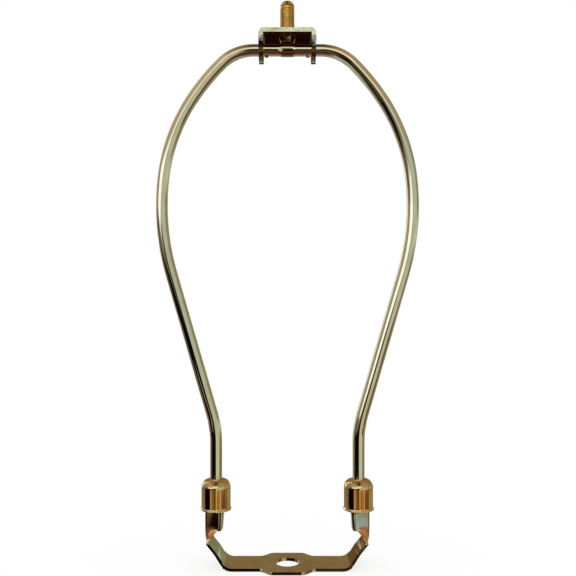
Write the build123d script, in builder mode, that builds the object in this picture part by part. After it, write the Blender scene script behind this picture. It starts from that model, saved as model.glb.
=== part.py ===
from build123d import *
import os
from math import cos, hypot, radians, sqrt, tan

os.makedirs("parts", exist_ok=True)

# Lamp harp in millimetres: origin at the centre of the pipe hole on the underside of the
# base strip, +Z up, the two legs spread along X, the thin way of the harp along Y.

# Wire of the bow
wire_d = 5.2
leg_spacing = 61.9
leg_tip_z = 15.2
harp_length = 215.5

# Bends of the bow, from the middle of the top down to the legs. A longer harp has wider
# bends, so their radii are shares of its length.
top_run_out = 2.1
shoulder_bend_share = 0.0942
shoulder_turn = 45.0
flank_bend_share = 0.464
flank_turn = 11.0
belly_upper_share = 0.3652
belly_upper_turn = 27.7
belly_lower_share = 0.4896
leg_slope = 16.2
knee_bend_share = 0.209

# Flattened leg tips, pressed from the round wire
blade_width = 5.9
blade_flare = 0.6
blade_thickness = 3.3
blade_height = 8.4
blade_edge_r = 0.8
blade_tip_r = 1.25
press_run_out = 4.0

# Pressed spot under the stud, and the nibs staked beside the bracket's ears
spot_length = 5.8
spot_thickness = 4.2
spot_rise = 0.35
spot_edge_r = 1.9
nib_length = 2.4
nib_width = 1.8
nib_drop = 0.55
nib_slope = 60.0
nib_gap = 0.15

# Top bracket, folded from one sheet
bracket_sheet = 2.0
bracket_width = 24.6
bracket_depth = 18.0
bracket_bend_r = 2.5
ear_lobe_r = 5.9
ear_taper_rise = 1.2
ear_hole_gap = 0.08

# Finial stud, riveted through the bracket
stud_d = 6.2
stud_reach = 14.4
stud_dome = 2.4
neck_d = 6.6
neck_rise = 0.2
neck_hole_gap = 0.05
rivet_d = 7.0
rivet_foot_d = 5.7
rivet_brim_h = 0.8
rivet_h = 1.95
rivet_gap = 0.1

# Base strip, blanked and folded into two open channels
strip_t = 1.3
strip_width = 15.5
boss_width = 23.5
boss_half_length = 7.0
boss_shoulder = 4.0
blank_corner_r = 2.5
pipe_hole_d = 10.3
foot_half_length = 27.0
wide_run_on = 0.6
foot_bend_r = 5.0
arm_rise = 13.85
arm_width = 13.5
arm_dish = 0.3
channel_wire_gap = 0.1
channel_blade_gap = 0.2
channel_bend_r = 1.4
channel_splay = 0.6
channel_lip_in = 1.5
channel_foot_z = 16.8
channel_top_z = 35.2
gusset_start = 3.1

# Ferrules, drawn cups that slide on the legs
ferrule_d = 12.6
ferrule_wall = 0.5
ferrule_h = 13.1
ferrule_shoulder_r = 3.3
ferrule_wire_gap = 0.2
ferrule_rim_d = 13.3
ferrule_rim_h = 0.6
ferrule_rim_blend = 0.4
ferrule_seat_gap = 0.45

# Heights that follow from the values above
wire_r = wire_d / 2
leg_x = leg_spacing / 2
bracket_top_z = leg_tip_z + harp_length
bracket_under_z = bracket_top_z - bracket_sheet
rivet_foot_z = bracket_under_z - rivet_h
wire_axis_z = rivet_foot_z - rivet_gap - spot_rise - wire_r
top_half = bracket_width / 2 + top_run_out
blade_top_z = leg_tip_z + blade_height
press_top_z = blade_top_z + press_run_out
nib_x = bracket_width / 2 - bracket_sheet - nib_gap - nib_length / 2

# Bow: one wire bent in a plane, straight through the bracket, round the shoulders and
# the belly, then along a straight slope to the knee and down the upright leg.
shoulder_bend_r = shoulder_bend_share * harp_length
flank_bend_r = flank_bend_share * harp_length
belly_upper_r = belly_upper_share * harp_length
belly_lower_r = belly_lower_share * harp_length
knee_bend_r = knee_bend_share * harp_length
belly_lower_turn = 90 + leg_slope - shoulder_turn - flank_turn - belly_upper_turn
knee_x = leg_x + knee_bend_r * (1 - cos(radians(leg_slope)))

with BuildPart() as harp_bow:
    with BuildLine(Plane.XZ) as half_path:
        top_run = Line((0, wire_axis_z), (top_half, wire_axis_z))
        shoulder = JernArc(top_run @ 1, top_run % 1, shoulder_bend_r, -shoulder_turn)
        flank = JernArc(shoulder @ 1, shoulder % 1, flank_bend_r, -flank_turn)
        belly_upper = JernArc(flank @ 1, flank % 1, belly_upper_r, -belly_upper_turn)
        belly_lower = JernArc(belly_upper @ 1, belly_upper % 1, belly_lower_r, -belly_lower_turn)
        slope_top = belly_lower @ 1
        slope_drop = (slope_top.X - knee_x) / tan(radians(leg_slope))
        slope = Line(slope_top, (knee_x, slope_top.Z - slope_drop))
        knee = JernArc(slope @ 1, slope % 1, knee_bend_r, leg_slope)
        Line(knee @ 1, (leg_x, press_top_z))
    with BuildSketch(Plane(origin=half_path.wire() @ 0, z_dir=half_path.wire() % 0)):
        Circle(wire_r)
    sweep()
    # The leg tip is pressed between flat dies: round wire runs out into a blade, which is
    # widest at its top, on the side that looks into the harp.
    with BuildSketch(Plane.XY.offset(press_top_z)):
        with Locations((leg_x, 0)):
            Circle(wire_r)
    with BuildSketch(Plane.XY.offset(blade_top_z)):
        with Locations((leg_x - blade_flare / 2, 0)):
            RectangleRounded(blade_width + blade_flare, blade_thickness, blade_edge_r)
    loft()
    with BuildSketch(Plane.XY.offset(blade_top_z)):
        with Locations((leg_x - blade_flare / 2, 0)):
            RectangleRounded(blade_width + blade_flare, blade_thickness, blade_edge_r)
    extrude(amount=-blade_height)
    with BuildSketch(Plane.XZ):
        with Locations((leg_x, leg_tip_z)):
            Rectangle(2 * blade_width, blade_height, align=(Align.CENTER, Align.MIN))
        with BuildLine():
            blade_side = FilletPolyline(
                (leg_x - blade_width / 2 - blade_flare, blade_top_z),
                (leg_x - blade_width / 2, leg_tip_z),
                (leg_x + blade_width / 2, leg_tip_z),
                (leg_x + blade_width / 2, blade_top_z),
                radius=blade_tip_r,
            )
            Line(blade_side @ 1, blade_side @ 0)
        make_face(mode=Mode.SUBTRACT)
    extrude(amount=wire_d, both=True, mode=Mode.SUBTRACT)
    mirror(about=Plane.YZ)
    # The middle of the top is pinched front and back, so the wire stands up under the stud.
    with BuildSketch(Plane.XY.offset(wire_axis_z)):
        for side in (-1, 1):
            with Locations((0, side * (spot_thickness + wire_d) / 2)):
                Rectangle(spot_length, wire_d)
    extrude(amount=wire_d, both=True, mode=Mode.SUBTRACT)
    with BuildSketch(Plane.YZ.offset(-spot_length / 2)):
        with Locations((0, wire_axis_z)):
            RectangleRounded(spot_thickness, wire_d + 2 * spot_rise, spot_edge_r)
    extrude(amount=spot_length)
    # Two nibs are staked out of the wire's underside, just inside the bracket's ears.
    with BuildSketch(Plane.XZ):
        with Locations((nib_x, wire_axis_z - wire_r - nib_drop / 2)):
            Trapezoid(nib_length, 2 * nib_drop, nib_slope, rotation=180)
    extrude(amount=nib_width / 2, both=True)
    with BuildSketch(Plane.XZ):
        with Locations((-nib_x, wire_axis_z - wire_r - nib_drop / 2)):
            Trapezoid(nib_length, 2 * nib_drop, nib_slope, rotation=180)
    extrude(amount=nib_width / 2, both=True)

harp_bow.part.label = "harp_bow"
export_step(harp_bow.part, "parts/harp_bow.step")

# Top bracket: a strip folded into an upside-down U. Each ear tapers to a round lobe that
# is pierced for the wire.
lobe_z = wire_axis_z
ear_foot_z = lobe_z - ear_lobe_r
with BuildPart() as top_bracket:
    with BuildSketch(Plane.XZ):
        with BuildLine():
            FilletPolyline(
                (-bracket_width / 2, ear_foot_z),
                (-bracket_width / 2, bracket_top_z),
                (bracket_width / 2, bracket_top_z),
                (bracket_width / 2, ear_foot_z),
                radius=bracket_bend_r,
            )
            offset(amount=bracket_sheet, side=Side.RIGHT)
        make_face()
    extrude(amount=bracket_depth / 2, both=True)
    with BuildSketch(Plane.YZ):
        with Locations((0, lobe_z)):
            Circle(ear_lobe_r)
        with Locations((0, lobe_z + ear_taper_rise)):
            Rectangle(bracket_depth, bracket_top_z - lobe_z, align=(Align.CENTER, Align.MIN))
        make_hull()
    extrude(amount=bracket_width, both=True, mode=Mode.INTERSECT)
    with BuildSketch(Plane.YZ):
        with Locations((0, lobe_z)):
            Circle(wire_r + ear_hole_gap)
    extrude(amount=bracket_width, both=True, mode=Mode.SUBTRACT)
    with Locations((0, 0, bracket_top_z)):
        Hole(neck_d / 2 + neck_hole_gap, depth=bracket_sheet)

top_bracket.part.label = "top_bracket"
export_step(top_bracket.part, "parts/top_bracket.step")

# Finial stud: a threaded stud with a domed tip. Its plain neck fills the bracket's hole, and
# its end is upset under the plate into a rivet head.
stud_tip_z = bracket_top_z + stud_reach
dome_r = ((stud_d / 2) ** 2 + stud_dome**2) / (2 * stud_dome)
neck_top_z = bracket_top_z + neck_rise
brim_foot_z = bracket_under_z - rivet_brim_h
with BuildPart() as finial_stud:
    with BuildSketch(Plane.XZ):
        with BuildLine():
            dome = RadiusArc((0, stud_tip_z), (stud_d / 2, stud_tip_z - stud_dome), dome_r)
            Polyline(
                dome @ 1,
                (stud_d / 2, neck_top_z),
                (neck_d / 2, neck_top_z),
                (neck_d / 2, bracket_under_z),
                (rivet_d / 2, bracket_under_z),
                (rivet_d / 2, brim_foot_z),
                (rivet_foot_d / 2, rivet_foot_z),
                (0, rivet_foot_z),
                dome @ 0,
            )
        make_face()
    revolve(axis=Axis.Z)

finial_stud.part.label = "finial_stud"
export_step(finial_stud.part, "parts/finial_stud.step")

# Base strip: a flat centre with the pipe hole, two sloping arms, and upright channels that
# are open towards each other and take the leg tips. The arms fold into the channels.
channel_half = wire_r + channel_wire_gap + strip_t
channel_inner_half = wire_r + channel_wire_gap
web_x = leg_x + blade_width / 2 + channel_blade_gap + strip_t
lip_x = leg_x - channel_lip_in
arm_dir = Vector(web_x - foot_half_length, 0, arm_rise).normalized()
arm_end = Vector(web_x, 0, arm_rise) - arm_dir * gusset_start
bend_half = channel_half - channel_bend_r
bend_mid = channel_bend_r * (1 - cos(radians(45)))
shoulder_x = boss_half_length + boss_shoulder
lip_depth = web_x - lip_x
lean = channel_splay / lip_depth
arm_end_plane = Plane(origin=arm_end, x_dir=(0, 1, 0), z_dir=arm_dir)
channel_foot_plane = Plane(origin=(web_x, 0, channel_foot_z), x_dir=(0, 1, 0), z_dir=(0, 0, 1))
with BuildPart() as channel_end:
    # The channel's upright wall and its two lips.
    with BuildSketch(Plane.XY.offset(channel_foot_z)):
        with BuildLine():
            FilletPolyline(
                (lip_x, channel_half + channel_splay),
                (web_x, channel_half),
                (web_x, -channel_half),
                (lip_x, -channel_half - channel_splay),
                radius=channel_bend_r,
            )
            offset(amount=strip_t, side=Side.RIGHT)
        make_face()
    extrude(amount=channel_top_z - channel_foot_z)
    # Between arm and channel the blank's sides fold up from flat to square.
    with BuildLine(arm_end_plane) as flat_end:
        dish = 4 * arm_dish / arm_width**2
        outer_x = (arm_width / 2, channel_half, channel_half - channel_bend_r / 2, bend_half)
        inner_x = (arm_width / 2, channel_inner_half)
        Polyline(
            *[(-x, dish * x**2) for x in outer_x],
            *[(x, dish * x**2) for x in reversed(outer_x)],
            *[(x, dish * x**2 + strip_t) for x in inner_x],
            *[(-x, dish * x**2 + strip_t) for x in reversed(inner_x)],
            close=True,
        )
    with BuildLine(channel_foot_plane) as folded_end:
        Polyline(
            (-channel_half - channel_splay, lip_depth),
            (-channel_half - lean * channel_bend_r, channel_bend_r),
            (-channel_half + bend_mid, bend_mid),
            (-bend_half, 0),
            (bend_half, 0),
            (channel_half - bend_mid, bend_mid),
            (channel_half + lean * channel_bend_r, channel_bend_r),
            (channel_half + channel_splay, lip_depth),
            (channel_inner_half + channel_splay, lip_depth),
            (channel_inner_half + lean * strip_t, strip_t),
            (-channel_inner_half - lean * strip_t, strip_t),
            (-channel_inner_half - channel_splay, lip_depth),
            close=True,
        )
    loft([Face(folded_end.wire()), Face(flat_end.wire())], ruled=True)

with BuildPart() as base_saddle:
    # The strip seen from the front, at one thickness throughout.
    with BuildSketch(Plane.XZ):
        with BuildLine():
            FilletPolyline(
                (-arm_end.X, arm_end.Z),
                (-foot_half_length, 0),
                (foot_half_length, 0),
                (arm_end.X, arm_end.Z),
                radius=foot_bend_r + strip_t,
            )
            offset(amount=strip_t, side=Side.LEFT)
        make_face()
    extrude(amount=boss_width / 2, both=True)
    # The blank seen from above: wide boss round the hole, narrower arms.
    with BuildSketch() as blank:
        Rectangle(2 * web_x, arm_width)
        Rectangle(2 * (foot_half_length + wide_run_on), strip_width)
        with BuildLine():
            Polyline(
                (shoulder_x, strip_width / 2),
                (boss_half_length, boss_width / 2),
                (-boss_half_length, boss_width / 2),
                (-shoulder_x, strip_width / 2),
                (-shoulder_x, -strip_width / 2),
                (-boss_half_length, -boss_width / 2),
                (boss_half_length, -boss_width / 2),
                (shoulder_x, -strip_width / 2),
                close=True,
            )
        make_face()
        boss_corners = blank.vertices().filter_by(lambda corner: abs(corner.X) < foot_half_length)
        fillet(boss_corners, blank_corner_r)
    extrude(amount=channel_top_z, mode=Mode.INTERSECT)
    Hole(pipe_hole_d / 2)
    add(channel_end.part)
    mirror(channel_end.part, about=Plane.YZ)

base_saddle.part.label = "base_saddle"
export_step(base_saddle.part, "parts/base_saddle.step")

# Ferrules: drawn cups with a pierced, rounded shoulder and a rolled rim. Each one hangs
# on its leg and comes down over the channel until its shoulder meets the channel's corners.
ferrule_r = ferrule_d / 2
ferrule_bore_r = ferrule_r - ferrule_wall
ferrule_hole_r = wire_r + ferrule_wire_gap
crown_r = ferrule_r - ferrule_shoulder_r
inner_shoulder_r = ferrule_shoulder_r - ferrule_wall
corner_reach = hypot(web_x - leg_x - channel_bend_r, bend_half) + channel_bend_r
corner_rise = sqrt(inner_shoulder_r**2 - (corner_reach - crown_r) ** 2)
shoulder_z = channel_top_z + ferrule_seat_gap - corner_rise
ferrule_top_z = shoulder_z + ferrule_shoulder_r
ferrule_foot_z = ferrule_top_z - ferrule_h
rim_top_z = ferrule_foot_z + ferrule_rim_h
for side, name in ((-1, "ferrule_left"), (1, "ferrule_right")):
    leg_plane = Plane(origin=(side * leg_x, 0, 0), x_dir=(1, 0, 0), z_dir=(0, -1, 0))
    with BuildPart() as ferrule:
        with BuildSketch(leg_plane):
            with BuildLine():
                outer_arc = RadiusArc(
                    (ferrule_r, shoulder_z), (crown_r, ferrule_top_z), -ferrule_shoulder_r
                )
                inner_arc = RadiusArc(
                    (crown_r, ferrule_top_z - ferrule_wall),
                    (ferrule_bore_r, shoulder_z),
                    inner_shoulder_r,
                )
                Polyline(
                    outer_arc @ 1,
                    (ferrule_hole_r, ferrule_top_z),
                    (ferrule_hole_r, ferrule_top_z - ferrule_wall),
                    inner_arc @ 0,
                )
                Polyline(
                    inner_arc @ 1,
                    (ferrule_bore_r, ferrule_foot_z),
                    (ferrule_rim_d / 2, ferrule_foot_z),
                    (ferrule_rim_d / 2, rim_top_z),
                    (ferrule_r, rim_top_z + ferrule_rim_blend),
                    outer_arc @ 0,
                )
            make_face()
        revolve(axis=Axis((side * leg_x, 0, 0), (0, 0, 1)))
    ferrule.part.label = name
    export_step(ferrule.part, f"parts/{name}.step")
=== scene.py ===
from math import cos, pi, radians, sin, sqrt

import bmesh
import bpy
from mathutils import Matrix, Vector


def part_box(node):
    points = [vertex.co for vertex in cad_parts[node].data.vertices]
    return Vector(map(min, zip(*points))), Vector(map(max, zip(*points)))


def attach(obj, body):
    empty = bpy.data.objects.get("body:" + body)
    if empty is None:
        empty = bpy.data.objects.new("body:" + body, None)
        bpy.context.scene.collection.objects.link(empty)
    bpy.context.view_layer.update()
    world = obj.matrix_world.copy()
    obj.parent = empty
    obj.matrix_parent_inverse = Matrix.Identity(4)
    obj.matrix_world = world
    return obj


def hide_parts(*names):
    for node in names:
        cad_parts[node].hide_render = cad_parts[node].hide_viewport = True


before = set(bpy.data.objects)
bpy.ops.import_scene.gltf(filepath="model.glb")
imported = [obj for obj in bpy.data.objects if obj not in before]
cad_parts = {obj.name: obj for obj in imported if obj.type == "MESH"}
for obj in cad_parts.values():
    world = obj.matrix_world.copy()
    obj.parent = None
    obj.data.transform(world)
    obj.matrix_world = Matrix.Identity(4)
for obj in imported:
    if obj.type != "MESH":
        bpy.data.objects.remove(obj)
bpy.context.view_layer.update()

MM = 0.001

# The bow
# One steel wire, drawn round, bent in a plane and plated with polished brass. Its leg tips
# are pressed flat to enter the base, its middle is pinched under the stud, and two nibs are
# staked out of its underside to stop the bracket from creeping along it.
bow_foot, bow_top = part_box("harp_bow")
wire_r = (bow_top.y - bow_foot.y) / 2
wire_sides = 48
spot_rise = 0.35 * MM
wire_axis_z = bow_top.z - spot_rise - wire_r
leg_x = 30.95 * MM
top_half = 14.4 * MM
down = Vector((0, 0, -1))

bow = bmesh.new()
straight = bow.verts.layers.float_vector.new("straight")
ring = bmesh.ops.create_circle(
    bow, segments=wire_sides, radius=wire_r,
    matrix=Matrix.Translation((0, 0, wire_axis_z)) @ Matrix.Rotation(radians(90), 4, "Y"),
)["verts"]
for v in ring:
    v[straight] = (0, v.co.y, v.co.z - wire_axis_z)


def draw_on(hoop, direction, length, steps, gone):
    """Draw the wire straight on, and return its new end and the length of wire used."""
    for _ in range(steps):
        gone += length / steps
        grown = bmesh.ops.extrude_edge_only(bow, edges=hoop)["geom"]
        verts = [g for g in grown if isinstance(g, bmesh.types.BMVert)]
        bmesh.ops.translate(bow, verts=verts, vec=direction * length / steps)
        for v in verts:
            v[straight].x = gone
        hoop = [e for e in grown
                if isinstance(e, bmesh.types.BMEdge) and all(v in verts for v in e.verts)]
    return hoop, gone


def bend_on(hoop, centre, radius, turn, steps, gone):
    """Bend the wire on round a centre, and return its new end and the length of wire used."""
    for _ in range(steps):
        gone += radius * abs(turn) / steps
        grown = bmesh.ops.spin(bow, geom=hoop, cent=centre, axis=(0, 1, 0),
                               angle=turn / steps, steps=1)["geom_last"]
        for v in grown:
            if isinstance(v, bmesh.types.BMVert):
                v[straight].x = gone
        hoop = [e for e in grown if isinstance(e, bmesh.types.BMEdge)]
    return hoop, gone


# The straight top, whose stops in mm lie close at the pinch, so its ends can be shaped.
hoop, gone = list(bow.edges), 0.0
top_stops = [0.0, 1.9, 2.3, 2.6, 2.9, 3.2, 3.6, 4.2, 7.0, 11.0, top_half / MM]
for start, stop in zip(top_stops, top_stops[1:]):
    hoop, gone = draw_on(hoop, Vector((1, 0, 0)), (stop - start) * MM, 1, gone)

# Each bend of the harp's side: radius in mm, turn in degrees, steps.
shoulder = (20.3, 45.0, 26)
flank = (100.0, 11.0, 8)
belly_upper = (78.7, 27.7, 24)
belly_lower = (105.5, 22.5, 20)
at = Vector((top_half, 0, wire_axis_z))
heading = 0.0
for radius, turn, steps in (shoulder, flank, belly_upper, belly_lower):
    centre = at + Vector((-sin(heading), 0, -cos(heading))) * radius * MM
    hoop, gone = bend_on(hoop, centre, radius * MM, radians(turn), steps, gone)
    heading += radians(turn)
    at = centre + Vector((sin(heading), 0, cos(heading))) * radius * MM

# The straight slope, the knee and the upright leg.
knee_r = 45.0 * MM
knee_turn = radians(16.2)
knee_steps = 14
slope_steps = 10
leg_steps = 6
blade_h = 8.4 * MM
press_h = 4.0 * MM
knee_x = leg_x + knee_r * (1 - cos(knee_turn))
slope = Vector((cos(heading), 0, -sin(heading)))
slope_length = (knee_x - at.x) / slope.x
hoop, gone = draw_on(hoop, slope, slope_length, slope_steps, gone)
centre = at + slope * slope_length + Vector((sin(heading), 0, cos(heading))) * knee_r
hoop, gone = bend_on(hoop, centre, knee_r, -knee_turn, knee_steps, gone)
press_top_z = bow_foot.z + blade_h + press_h
hoop, gone = draw_on(hoop, down, centre.z - press_top_z, leg_steps, gone)

# The leg tip: round wire runs out into a flat blade with rounded corners.
blade_half_w = 2.95 * MM
blade_half_t = 1.65 * MM
blade_flare = 0.6 * MM
tip_r = 1.25 * MM
press_steps = 8
blade_steps = 4
tip_steps = 5


def smooth_step(share):
    """Ease a share between 0 and 1 in and out."""
    return share * share * (3 - 2 * share)


def press(hoop, amount, flare):
    """Flatten one hoop of the leg between dies, from round at 0 to the full blade at 1.

    The flare is how far the metal spreads on the side that looks into the harp.
    """
    wide = 1 + (blade_half_w / wire_r - 1) * amount
    thin = wire_r + (blade_half_t - wire_r) * amount
    for v in {v for e in hoop for v in e.verts}:
        across = v[straight].z / wire_r
        v.co.x = leg_x + across * wire_r * wide + flare * min(0, across)
        v.co.y = max(-thin, min(thin, v.co.y))


for i in range(press_steps):
    hoop, gone = draw_on(hoop, down, press_h / press_steps, 1, gone)
    pressed = smooth_step((i + 1) / press_steps)
    press(hoop, pressed, blade_flare * pressed)
for i in range(blade_steps):
    step = (blade_h - tip_r) / blade_steps
    hoop, gone = draw_on(hoop, down, step, 1, gone)
    press(hoop, 1, blade_flare * (1 - (i + 1) * step / blade_h))
for i in range(tip_steps):
    here = radians(90) * i / tip_steps
    there = radians(90) * (i + 1) / tip_steps
    hoop, gone = draw_on(hoop, down, tip_r * (sin(there) - sin(here)), 1, gone)
    half = blade_half_w - tip_r * (1 - cos(there))
    for v in {v for e in hoop for v in e.verts}:
        v.co.x = leg_x + max(-half, min(half, v.co.x - leg_x))
bmesh.ops.contextual_create(bow, geom=hoop)

# The pinch: flat front and back, and the metal it moves stands up above and below.
spot_flat = 2.1 * MM
spot_run_out = 1.6 * MM
spot_half_t = 2.35 * MM
spot_lean = 0.3 * MM
for v in bow.verts:
    near = smooth_step(1 - min(1, max(0, (v.co.x - spot_flat) / spot_run_out)))
    if near > 0:
        height = v.co.z - wire_axis_z
        half_here = spot_half_t + spot_lean * height / wire_r
        v.co.y *= 1 + near * (half_here / wire_r - 1)
        v.co.z = wire_axis_z + height * (1 + near * spot_rise / wire_r)
wire_weld = 0.001 * MM
bmesh.ops.mirror(bow, geom=bow.verts[:] + bow.edges[:] + bow.faces[:], axis="X",
                 merge_dist=wire_weld)
bmesh.ops.remove_doubles(bow, verts=bow.verts, dist=wire_weld / 2)

# Two nibs, small wedges of the wire's own metal, just inside the ears.
nib_x = 8.95 * MM
nib_size = (2.4 * MM, 1.8 * MM, 1.1 * MM, 1)
nib_taper = (0.55, 0.7)
nib_edge_r = 0.15 * MM
wire_under_z = wire_axis_z - wire_r
for side in (-1, 1):
    stand = Matrix.Translation((side * nib_x, 0, wire_under_z)) @ Matrix.Diagonal(nib_size)
    nib = bmesh.ops.create_cube(bow, size=1.0, matrix=stand)["verts"]
    for v in nib:
        if v.co.z < wire_under_z:
            v.co.x = side * nib_x + (v.co.x - side * nib_x) * nib_taper[0]
            v.co.y *= nib_taper[1]
        v[straight] = (nib_x, v.co.y, v.co.z - wire_axis_z)
    edges = list({e for v in nib for e in v.link_edges})
    bmesh.ops.bevel(bow, geom=edges, offset=nib_edge_r, offset_type="OFFSET", segments=2,
                    profile=0.5, affect="EDGES", material=-1)


def linear(hex_colour):
    """Turn an sRGB hex colour into the linear values that a shader takes."""
    channels = [int(hex_colour[i:i + 2], 16) / 255 for i in (1, 3, 5)]
    return [c / 12.92 if c <= 0.04045 else ((c + 0.055) / 1.055) ** 2.4 for c in channels] + [1]


def add(tree, kind, settings=None, **links):
    """Add a node, give it its settings, and feed its inputs with values or other outputs.

    An input is named by its name, with _ for a space, or by i and its number.
    """
    made = tree.nodes.new(kind)
    for name, value in (settings or {}).items():
        setattr(made, name, value)
    for name, value in links.items():
        key = int(name[1:]) if name[1:].isdigit() else name.replace("_", " ")
        if isinstance(value, bpy.types.NodeSocket):
            tree.links.new(value, made.inputs[key])
        else:
            made.inputs[key].default_value = value
    return made


cloud_size = 6 * MM
cloud_range = (0.4, 0.72)
cloud_share = 0.7
rub_size = (25 * MM, 0.4 * MM, 0.4 * MM)
rub_range = (0.3, 0.8)
rub_spread = (0.7, 1.5)


def brass_plate(name, base, deep, roughness, ripple, ripple_depth, unbent=False):
    """Polished brass, told apart from a flat mirror by three small faults.

    Clouds of the deeper colour cover the base colour in part, fine rubbing marks vary the
    roughness, and a ripple, given by its sizes in mm along X, Y and Z, bends what the metal
    mirrors. They lie in the frame's coordinates or, on the wire, in those of the wire before
    it was bent. Returns the material and the coordinates.
    """
    material = bpy.data.materials.new(name)
    material.use_nodes = True
    tree = material.node_tree
    tree.nodes.clear()
    if unbent:
        place = add(tree, "ShaderNodeAttribute", {"attribute_name": "straight"}).outputs["Vector"]
    else:
        place = add(tree, "ShaderNodeTexCoord").outputs["Object"]
    cloud = add(tree, "ShaderNodeTexNoise", Vector=place, Scale=1 / cloud_size, Detail=3.0,
                Roughness=0.55)
    haze = add(tree, "ShaderNodeMapRange", i0=cloud.outputs[0], i1=cloud_range[0],
               i2=cloud_range[1], i3=0.0, i4=cloud_share)
    tint = add(tree, "ShaderNodeMix", {"data_type": "RGBA"}, i0=haze.outputs[0],
               i6=linear(base), i7=linear(deep))
    rubbed = add(tree, "ShaderNodeMapping", Vector=place, Scale=[1 / size for size in rub_size])
    lines = add(tree, "ShaderNodeTexNoise", Vector=rubbed.outputs[0], Scale=1.0, Detail=2.0)
    rough = add(tree, "ShaderNodeMapRange", i0=lines.outputs[0], i1=rub_range[0],
                i2=rub_range[1], i3=roughness * rub_spread[0], i4=roughness * rub_spread[1])
    wavy = add(tree, "ShaderNodeMapping", Vector=place,
               Scale=[1 / (size * MM) for size in ripple])
    waves = add(tree, "ShaderNodeTexNoise", Vector=wavy.outputs[0], Scale=1.0, Detail=1.0)
    bump = add(tree, "ShaderNodeBump", Height=waves.outputs[0], Strength=1.0,
               Distance=ripple_depth)
    shader = add(tree, "ShaderNodeBsdfPrincipled", Metallic=1.0, Base_Color=tint.outputs[2],
                 Roughness=rough.outputs[0], Normal=bump.outputs[0])
    add(tree, "ShaderNodeOutputMaterial", Surface=shader.outputs[0])
    return material, place


def paint_patch(material, mask, colour, roughness=None):
    """Paint a colour over a finish where the mask says, and, if given, a roughness; the colour
    stands in for painted shade or painted reflection.
    """
    tree = material.node_tree
    shader = tree.nodes["Principled BSDF"]
    clean = shader.inputs["Base Color"].links[0].from_socket
    patched = add(tree, "ShaderNodeMix", {"data_type": "RGBA"}, i0=mask, i6=clean,
                  i7=linear(colour))
    tree.links.new(patched.outputs[2], shader.inputs["Base Color"])
    if roughness is not None:
        polish = shader.inputs["Roughness"].links[0].from_socket
        worn = add(tree, "ShaderNodeMix", i0=mask, i2=polish, i3=roughness)
        tree.links.new(worn.outputs[0], shader.inputs["Roughness"])


# Nearly a mirror: the studio runs along the wire as clean dark and pale lines. At the pinch a
# coppery brown is painted into the plate's colour, as a painted reflection of the brown things the
# pinch mirrors.
bow_finish, place = brass_plate("polished_brass_plate_on_wire", "#E4DAB4", "#DACA98", 0.04,
                                (9, 2.6, 2.6), 0.015 * MM, unbent=True)
pinch_reflection_fade = 0.8 * MM
pinch_reflection_share = 0.5
tree = bow_finish.node_tree
along = add(tree, "ShaderNodeSeparateXYZ", Vector=place)
# Painted reflection: coppery brown at the pinch, fading out along the wire.
rubbed = add(tree, "ShaderNodeMapRange", {"interpolation_type": "SMOOTHSTEP"},
             i0=along.outputs[0], i1=spot_flat, i2=spot_flat + pinch_reflection_fade, i3=pinch_reflection_share, i4=0.0)
paint_patch(bow_finish, rubbed.outputs[0], "#A0683C")


crease_angle = radians(40)


def settle(bm, name, material, body, node):
    """Turn a finished bmesh into the object that stands for a CAD node."""
    bmesh.ops.recalc_face_normals(bm, faces=bm.faces)
    mesh = bpy.data.meshes.new(name)
    bm.to_mesh(mesh)
    bm.free()
    mesh.shade_smooth()
    mesh.set_sharp_from_angle(angle=crease_angle)
    piece = bpy.data.objects.new(name, mesh)
    bpy.context.scene.collection.objects.link(piece)
    mesh.materials.append(material)
    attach(piece, body)
    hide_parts(node)
    level = piece.modifiers.new("flat_faces", "WEIGHTED_NORMAL")
    level.keep_sharp = True


settle(bow, "harp_wire", bow_finish, "bow", "harp_bow")


# The top bracket
# One strip of steel sheet, blanked and folded into an upside-down U, plated like the wire.
# Its pierced ears swivel on the wire; tumbling has rounded the blanked edges a little.
bracket_edge_r = 0.22 * MM
bracket_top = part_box("top_bracket")[1]
bracket_sheet = 2.0 * MM
inside_margin = 0.1 * MM
sheet_weld = 0.002 * MM
flat_angle = radians(0.5)
blanked_angle = radians(45)


def sheet_copy(node, edge_r):
    """A merged copy of a CAD sheet part, with its blanked edges rounded."""
    bm = bmesh.new()
    bm.from_mesh(bpy.data.objects[node].data)
    bmesh.ops.remove_doubles(bm, verts=bm.verts, dist=sheet_weld)
    bmesh.ops.dissolve_limit(bm, angle_limit=flat_angle, verts=bm.verts, edges=bm.edges)
    blanked = [e for e in bm.edges
               if len(e.link_faces) == 2 and e.calc_face_angle(0) > blanked_angle]
    bmesh.ops.bevel(bm, geom=blanked, offset=edge_r, offset_type="OFFSET", segments=3,
                    profile=0.5, affect="EDGES", clamp_overlap=True, material=-1)
    return bm


# The small faces are uneven, so the light breaks up on them. Inside the U, under the plate, the
# colour is painted dark brown as shade.
bracket_finish, place = brass_plate("polished_brass_plate_on_sheet", "#C3C6A6", "#A18F5A",
                                    0.06, (2.2, 2.2, 2.2), 0.13 * MM)
tree = bracket_finish.node_tree
spot = add(tree, "ShaderNodeSeparateXYZ", Vector=place)
off = add(tree, "ShaderNodeMath", {"operation": "ABSOLUTE"}, i0=spot.outputs[0])
between = add(tree, "ShaderNodeMath", {"operation": "LESS_THAN"}, i0=off.outputs[0],
              i1=bracket_top.x - bracket_sheet + inside_margin)
under = add(tree, "ShaderNodeMath", {"operation": "LESS_THAN"}, i0=spot.outputs[2],
            i1=bracket_top.z - bracket_sheet + inside_margin)
# Painted shade: the inside of the U, under the plate, is painted dark brown.
shade_inside_u = add(tree, "ShaderNodeMath", {"operation": "MULTIPLY"}, i0=between.outputs[0],
             i1=under.outputs[0])
paint_patch(bracket_finish, shade_inside_u.outputs[0], "#6E4A34")
settle(sheet_copy("top_bracket", bracket_edge_r), "swivel_bracket", bracket_finish,
       "bracket", "top_bracket")


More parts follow.
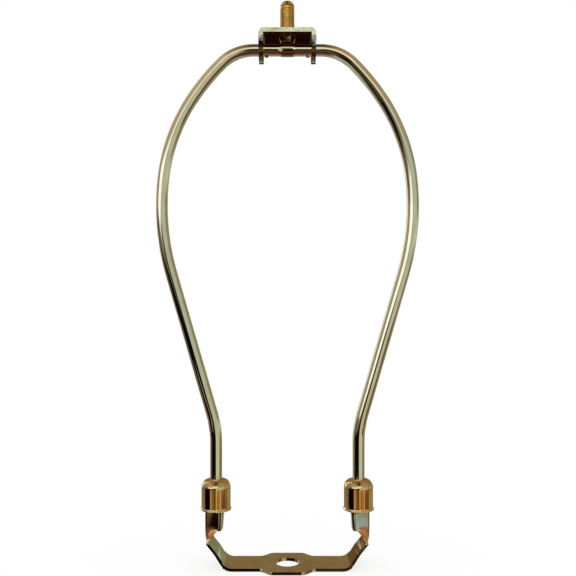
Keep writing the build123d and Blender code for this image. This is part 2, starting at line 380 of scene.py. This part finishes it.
# The finial stud
# A brass screw with a rolled thread and a domed tip. Its plain neck passes through the
# bracket, and its end is peened under the plate into a rivet head.
stud_foot, stud_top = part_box("finial_stud")
stud_sides = 48
crest_r = 3.1 * MM
root_r = 2.74 * MM
crest_ease = 0.03 * MM
pitch = 0.94 * MM
dome_h = 2.4 * MM
dome_steps = 10
thread_steps = 40
thread_foot_z = bracket_top.z + 0.2 * MM
thread_top_z = stud_top.z - dome_h
stud_weld = 0.002 * MM

# One pitch of the thread from root to root, as radii and shares of the pitch, is screwed up
# the stud.
profile = ((root_r, 0.0), (root_r, 0.12), (crest_r - crest_ease, 0.32), (crest_r, 0.5),
           (crest_r - crest_ease, 0.68), (root_r, 0.88), (root_r, 1.0))
turns = int((thread_top_z - thread_foot_z) / pitch) - 1
stud = bmesh.new()
line = [stud.verts.new((r, 0, thread_foot_z + share * pitch)) for r, share in profile]
for pair in zip(line, line[1:]):
    stud.edges.new(pair)
bmesh.ops.spin(stud, geom=stud.verts[:] + stud.edges[:], cent=(0, 0, 0), axis=(0, 0, 1),
               dvec=(0, 0, pitch / thread_steps), angle=2 * pi * turns,
               steps=thread_steps * turns)
bmesh.ops.remove_doubles(stud, verts=stud.verts, dist=2 * stud_weld)


def turned(bm, outline, steps, weld, axis_x=0.0):
    """Turn an outline of (radius, height) points into a round shell about an upright axis."""
    points = [bm.verts.new((axis_x + r, 0, z)) for r, z in outline]
    edges = [bm.edges.new(pair) for pair in zip(points, points[1:])]
    bmesh.ops.spin(bm, geom=points + edges, cent=(axis_x, 0, 0), axis=(0, 0, 1),
                   angle=2 * pi, steps=steps, use_merge=True)
    bmesh.ops.remove_doubles(bm, verts=bm.verts, dist=weld)


# The rivet head, the neck, the core inside the thread and the domed tip, from the foot up:
# radius and height over the foot, in mm.
head = [(0.0, 0.12), (2.0, 0.0), (2.6, 0.0), (2.85, 0.2), (3.4, 1.35), (3.5, 1.6), (3.5, 2.2),
        (3.4, 2.35), (3.3, 2.35)]
neck_r = 3.3 * MM
core_r = root_r - 0.02 * MM
dome_r = (crest_r ** 2 + dome_h ** 2) / (2 * dome_h)
dome_rises = [dome_h * i / dome_steps for i in range(dome_steps + 1)]
core = [(r * MM, stud_foot.z + z * MM) for r, z in head]
core += [(neck_r, thread_foot_z - 0.1 * MM), (neck_r - 0.1 * MM, thread_foot_z),
         (core_r, thread_foot_z + 0.1 * MM), (core_r, thread_top_z - 0.4 * MM),
         (crest_r - 0.1 * MM, thread_top_z - 0.15 * MM)]
core += [(sqrt(max(0.0, dome_r ** 2 - (dome_r - dome_h + rise) ** 2)), thread_top_z + rise)
         for rise in dome_rises]
turned(stud, core, stud_sides, stud_weld)

# Warm bare brass, satin in the rolled thread. The peened head is smooth, and it catches points of
# light under the plate; its darker, redder colour is painted shade under the plate.
stud_finish, place = brass_plate("rolled_solid_brass", "#E6C26A", "#C4933E", 0.17,
                                 (3, 3, 3), 0.03 * MM)
tree = stud_finish.node_tree
spot = add(tree, "ShaderNodeSeparateXYZ", Vector=place)
# Painted shade on the peened head under the plate, darker and redder, with a smoother finish.
peened_head_shade = add(tree, "ShaderNodeMath", {"operation": "LESS_THAN"}, i0=spot.outputs[2],
             i1=bracket_top.z)
paint_patch(stud_finish, peened_head_shade.outputs[0], "#B98C5C", 0.04)
settle(stud, "threaded_stud", stud_finish, "bracket", "finial_stud")


# The base strip
# One strip of steel, pierced for the lamp pipe and folded: flat in the middle, two sloping
# arms, and channels that hold the leg tips. Its plate is duller than the wire's.
base_edge_r = 0.3 * MM
arm_start_x = 24 * MM
fold_foot_z = 5.5 * MM
fold_waist_z = 12.2 * MM
fold_top_z = 18.0 * MM
fold_swell = 0.95 * MM
fold_levels = 16
web_outer_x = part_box("base_saddle")[1].x

# The corner between arm and channel swells out, so it turns softly and not at one line.
base = sheet_copy("base_saddle", base_edge_r)
for level in range(1, fold_levels):
    level_z = fold_foot_z + (fold_top_z - fold_foot_z) * level / fold_levels
    bmesh.ops.bisect_plane(base, geom=base.verts[:] + base.edges[:] + base.faces[:],
                           plane_co=(0, 0, level_z), plane_no=(0, 0, 1))
for v in base.verts:
    if abs(v.co.x) > arm_start_x and fold_foot_z < v.co.z < fold_top_z:
        end_z = fold_foot_z if v.co.z < fold_waist_z else fold_top_z
        near = smooth_step((v.co.z - end_z) / (fold_waist_z - end_z))
        outer = min(abs(v.co.x) + fold_swell * near, web_outer_x)
        v.co.x = outer if v.co.x > 0 else -outer

# Satin, so the flat middle reads as one even bronze. Where the strip was folded into the channels,
# a coppery patch is painted into the colour as a reflection of the warm floor below, strongest on
# the front.
base_finish, place = brass_plate("satin_brass_plate_on_strip", "#D0C4A0", "#B6A277", 0.09,
                                 (14, 5, 5), 0.02 * MM)
tree = base_finish.node_tree
spot = add(tree, "ShaderNodeSeparateXYZ", Vector=place)
off = add(tree, "ShaderNodeMath", {"operation": "ABSOLUTE"}, i0=spot.outputs[0])
# Painted reflection: the coppery patch on the folds, with a rougher finish there.
floor_reflection = 1.0
for measure, start, stop, share_at_start, share_at_stop in (
    (off.outputs[0], 30.5, 31.5, 0.0, 1.0),      # out in the channels
    (spot.outputs[2], 12.8, 14.0, 0.0, 1.0),     # above the corner
    (spot.outputs[2], 17.2, 18.6, 1.0, 0.0),     # below the channels' straight walls
    (spot.outputs[1], -6.6, 6.6, 0.85, 0.6),     # weaker to the back
):
    reach = add(tree, "ShaderNodeMapRange", {"interpolation_type": "SMOOTHSTEP"}, i0=measure,
                i1=start * MM, i2=stop * MM, i3=share_at_start, i4=share_at_stop)
    floor_reflection = add(tree, "ShaderNodeMath", {"operation": "MULTIPLY"}, i0=reach.outputs[0],
                 i1=floor_reflection).outputs[0]
paint_patch(base_finish, floor_reflection, "#E08A44", 0.42)
settle(base, "folded_base", base_finish, "base", "base_saddle")


# The two ferrules
# Cups drawn from thin brass, pierced for the wire and rolled at the rim. They slide on the
# legs and come down over the channels, where they lock the leg tips in.
cup_r = 6.3 * MM
cup_wall = 0.5 * MM
cup_hole_r = 2.8 * MM
shoulder_r = 3.3 * MM
shoulder_steps = 12
cup_sides = 72
cup_weld = 0.002 * MM
crown_r = cup_r - shoulder_r
bore_r = cup_r - cup_wall
inner_shoulder_r = shoulder_r - cup_wall
quarter = [radians(90 * i / shoulder_steps) for i in range(shoulder_steps + 1)]

# Bright brass. Drawing has left faint upright ripples in the wall, which split what it
# mirrors into fine upright lines.
cup_finish = brass_plate("drawn_brass_cup", "#E4CB88", "#D4AE62", 0.04, (1.7, 1.7, 40),
                         0.05 * MM)[0]
for name, node, body in (
    ("left_cup", "ferrule_left", "left_ferrule"),
    ("right_cup", "ferrule_right", "right_ferrule"),
):
    foot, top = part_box(node)
    axis_x = (foot.x + top.x) / 2
    rim_r = (top.x - foot.x) / 2
    shoulder_z = top.z - shoulder_r
    outline = [(cup_hole_r, top.z - cup_wall), (cup_hole_r, top.z)]
    outline += [(crown_r + shoulder_r * sin(a), shoulder_z + shoulder_r * cos(a)) for a in quarter]
    # The rolled rim: the wall runs out to it in a soft hollow and turns under.
    outline += [(cup_r, foot.z + 1.3 * MM), (cup_r + 0.08 * MM, foot.z + 0.95 * MM),
                (rim_r - 0.12 * MM, foot.z + 0.72 * MM), (rim_r, foot.z + 0.5 * MM),
                (rim_r, foot.z + 0.15 * MM), (rim_r - 0.15 * MM, foot.z),
                (bore_r + 0.1 * MM, foot.z), (bore_r, foot.z + 0.1 * MM)]
    outline += [(crown_r + inner_shoulder_r * cos(a), shoulder_z + inner_shoulder_r * sin(a))
                for a in quarter]
    cup = bmesh.new()
    turned(cup, outline + outline[:1], cup_sides, cup_weld, axis_x)
    settle(cup, name, cup_finish, body, node)


# The studio
# A plain white floor and a white surround. What the polished metal mirrors is a soft studio:
# pale windows in front, wooden boards and a bench below, dark flags to the left.
floor_half = 6.0
floor_drop = 0.05 * MM
floor_white = 0.75
floor_mesh = bpy.data.meshes.new("floor")
floor_bm = bmesh.new()
bmesh.ops.create_grid(floor_bm, x_segments=1, y_segments=1, size=floor_half,
                      matrix=Matrix.Translation((0, 0, -floor_drop)))
floor_bm.to_mesh(floor_mesh)
floor_bm.free()
floor = bpy.data.objects.new("floor", floor_mesh)
bpy.context.scene.collection.objects.link(floor)
floor.visible_glossy = False

# White paper that keeps a faint shadow under the harp.
floor_paint = bpy.data.materials.new("white_floor")
floor_paint.use_nodes = True
tree = floor_paint.node_tree
tree.nodes.clear()
lit = add(tree, "ShaderNodeBsdfDiffuse", Color=(1, 1, 1, 1))
white = add(tree, "ShaderNodeEmission", Color=(1, 1, 1, 1), Strength=1.0)
seen = add(tree, "ShaderNodeMixShader", Fac=floor_white, i1=lit.outputs[0],
           i2=white.outputs[0])
add(tree, "ShaderNodeOutputMaterial", Surface=seen.outputs[0])
floor_mesh.materials.append(floor_paint)

# The world: azimuth 0 is towards the camera and 90 is to the right, elevation 0 is level.
world = bpy.data.worlds.new("studio")
bpy.context.scene.world = world
world.use_nodes = True
tree = world.node_tree
tree.nodes.clear()
way = add(tree, "ShaderNodeTexCoord").outputs["Generated"]
parts = add(tree, "ShaderNodeSeparateXYZ", Vector=way)
ahead = add(tree, "ShaderNodeMath", {"operation": "MULTIPLY"}, i0=parts.outputs[1], i1=-1.0)
azimuth = add(tree, "ShaderNodeMath", {"operation": "ARCTAN2"}, i0=parts.outputs[0],
              i1=ahead.outputs[0])
elevation = add(tree, "ShaderNodeMath", {"operation": "ARCSINE"}, i0=parts.outputs[2])


def paint_box(under, name, azimuth_at, elevation_at, half_width, half_height, soft, hex_colour,
              strength):
    """Paint one soft-edged box of light or shade, placed and sized in degrees."""
    reach = []
    for angle, middle, half in (
        (azimuth, azimuth_at, half_width),
        (elevation, elevation_at, half_height),
    ):
        off = add(tree, "ShaderNodeMath", {"operation": "SUBTRACT"}, i0=angle.outputs[0],
                  i1=radians(middle))
        turn = add(tree, "ShaderNodeMath", {"operation": "WRAP"}, i0=off.outputs[0], i1=pi,
                   i2=-pi)
        far = add(tree, "ShaderNodeMath", {"operation": "ABSOLUTE"}, i0=turn.outputs[0])
        reach.append(add(tree, "ShaderNodeMapRange", {"interpolation_type": "SMOOTHSTEP"},
                         i0=far.outputs[0], i1=radians(half - soft), i2=radians(half + soft),
                         i3=1.0, i4=0.0))
    mask = add(tree, "ShaderNodeMath", {"operation": "MULTIPLY"}, i0=reach[0].outputs[0],
               i1=reach[1].outputs[0])
    colour = [c * strength for c in linear(hex_colour)[:3]] + [1]
    return add(tree, "ShaderNodeMix", {"data_type": "RGBA", "label": name},
               i0=mask.outputs[0], i6=under, i7=colour).outputs[2]


# Each box: name, azimuth, elevation, half width, half height, softness of its edge, colour,
# strength. A later box covers an earlier one.
light = linear("#8C877A")
for box in (
    # Behind and below
    ("rear wall", 180, 18, 62, 17, 6, "#97815F", 1.0),
    ("rear floor", 180, -38, 38, 9, 5, "#D8D8E6", 1.0),
    ("rear shade", 180, -13, 12, 20, 4, "#31180F", 1.0),
    ("rear right haze", 160, -4, 10, 12, 4, "#8B8F68", 1.0),
    ("rear left shade", -160, -4, 10, 12, 4, "#6E5430", 1.0),
    ("rear left slit", -152, 3, 4, 7, 2, "#F0EAD0", 1.3),
    ("rear right slit", 152, 2, 6, 8, 3, "#C4D6D0", 1.25),
    ("lower left wall", -106, -46, 42, 28, 8, "#B2B6B4", 1.0),
    ("lower right wall", 116, -46, 40, 28, 8, "#A09A90", 1.0),
    ("floor below", 0, -82, 180, 12, 5, "#70574F", 1.0),
    # Above
    ("left ceiling", -58, 42, 40, 24, 7, "#CBB394", 1.0),
    ("right ceiling", 64, 54, 48, 18, 7, "#C29C78", 1.0),
    ("right cornice", 68, 30, 42, 8, 5, "#B2A898", 1.0),
    ("zenith", 0, 86, 180, 8, 4, "#7E6654", 1.0),
    ("dark ceiling", 2, 72, 34, 12, 5, "#352819", 1.0),
    ("left dark ceiling", -38, 66, 20, 6, 4, "#8A6C56", 1.0),
    ("lamp shade above", -2, 56, 14, 7, 4, "#423628", 1.0),
    ("left lamp shade", -26, 53, 12, 4, 3, "#9A7E62", 1.0),
    ("lamp bracket above", 0, 43, 19, 5, 4, "#C4C6D6", 1.0),
    # Left and right walls
    ("left olive wall", -88, 21, 16, 17, 5, "#A9A69A", 1.0),
    ("left dusk", -82, -2, 14, 6, 3, "#5A5E60", 1.0),
    ("left low dusk", -106, -20, 14, 10, 4, "#5C5C58", 1.0),
    ("left white screen", -126, 26, 9, 30, 4, "#E3E4FF", 1.4),
    ("rear left screen", -141, -3, 7, 22, 4, "#D8E2FF", 1.6),
    ("right olive wall", 98, 6, 24, 16, 5, "#9C9A7C", 1.0),
    ("right pale wall", 36, 2, 36, 19, 4, "#BFD0DA", 1.0),
    ("right cream strip", 88, -1, 22, 4, 3, "#D4DCCC", 1.05),
    ("far right cream strip", 125, -1, 12, 4, 3, "#C4C6C0", 1.0),
    ("right low strip", 34, -14, 30, 7, 4, "#D0D2CC", 1.05),
    # Below in front
    ("brown floor", 22, -53, 52, 18, 5, "#50371F", 1.0),
    ("red floor", 0, -58, 30, 11, 5, "#42220F", 1.0),
    ("brown board", 8, -40, 18, 5, 4, "#74503A", 1.0),
    ("tan board", 29, -28, 18, 5, 4, "#9A8D74", 1.0),
    ("brown side board", 76, -33, 16, 17, 5, "#524024", 1.0),
    ("brown edge", 6, -29, 10, 4, 3, "#4C372A", 1.0),
    # Dark flags
    ("left flag foot", -44, -38, 19, 16, 6, "#1A1510", 1.0),
    ("left flag", -49, -18, 36, 13, 3, "#1A1211", 0.6),
    ("camera", -9, -13, 12, 13, 2, "#14100D", 0.8),
    # Windows
    ("left window", -33, 10, 27, 8, 3, "#E6EBFF", 1.7),
    ("window corner", -60, 1, 8, 4, 3, "#6E6C60", 1.0),
    ("window frame", -11, 1, 12, 4, 2, "#3C3E38", 1.0),
    ("upper window", -4, 22, 28, 7, 4, "#DDE6F6", 1.25),
    ("slit of the upper window", 0, 22, 9, 6, 3, "#EEF4FF", 1.5),
    ("top window", -2, 31, 24, 5, 3, "#DDDDE8", 1.2),
    # What the channels see close by
    ("shade at the right foot", 5, -19.6, 6, 2.4, 1, "#2E1A12", 1.0),
    ("card for the right channel", 17, -17.9, 5, 1.5, 0.6, "#AAD7FF", 1.1),
    ("shade for the left channel", -17, -17.9, 5, 1.5, 0.6, "#31110C", 0.8),
    # What the cups see of the bench: upright stripes of wood and shade
    ("bench left end", -121, -15.3, 29, 1, 0.4, "#8E8478", 1.0),
    ("bench left shade", -68, -15.3, 26, 1, 0.4, "#0C0604", 0.6),
    ("bench left line", -40, -15.3, 2, 1, 0.4, "#D2BC9C", 1.0),
    ("bench left wood", -28, -15.3, 13, 1, 0.4, "#C8A07F", 1.0),
    ("bench left grain", -22, -15.3, 4, 1, 0.4, "#704F1E", 1.0),
    ("bench middle shade", -6, -15.3, 9, 1, 0.4, "#7A5220", 1.0),
    ("bench bright line", 7.5, -15.3, 1.8, 1, 0.4, "#E8DCCC", 1.0),
    ("bench right wood", 24, -15.3, 14, 1, 0.4, "#B98A5E", 1.0),
    ("bench wood joint", 19, -15.3, 1.6, 1, 0.4, "#7B4C33", 1.0),
    ("bench second line", 40, -15.3, 2, 1, 0.4, "#D2B898", 1.0),
    ("bench red wood", 62, -15.3, 18, 1, 0.4, "#7B4C33", 1.0),
    ("bench red wood joint", 56, -15.3, 2, 1, 0.4, "#A87848", 1.0),
    ("bench right end", 117, -15.3, 34, 1, 0.4, "#A8997E", 1.0),
):
    light = paint_box(light, *box)

# The metal mirrors the painted studio, and every other ray meets white.
rays = add(tree, "ShaderNodeLightPath")
plain = add(tree, "ShaderNodeMath", {"operation": "SUBTRACT"}, i0=1.0,
            i1=rays.outputs["Is Glossy Ray"])
shown = add(tree, "ShaderNodeMix", {"data_type": "RGBA"}, i0=plain.outputs[0], i6=light,
            i7=(1, 1, 1, 1))
sky = add(tree, "ShaderNodeBackground", Color=shown.outputs[2], Strength=1.0)
add(tree, "ShaderNodeOutputWorld", Surface=sky.outputs[0])

# The camera stands level in front of the harp, at half its height and close enough to look
# down on the base and up under the bracket.
camera_side = 0.3 * MM
camera_distance = 330 * MM
camera_height = 120.4 * MM
camera_data = bpy.data.cameras.new("camera")
camera_data.lens = 47.47
camera_data.sensor_width = 36.0
camera = bpy.data.objects.new("camera", camera_data)
bpy.context.scene.collection.objects.link(camera)
camera.location = (camera_side, -camera_distance, camera_height)
camera.rotation_euler = (radians(90), 0, 0)
bpy.context.scene.camera = camera
bpy.context.scene.view_settings.view_transform = "Standard"
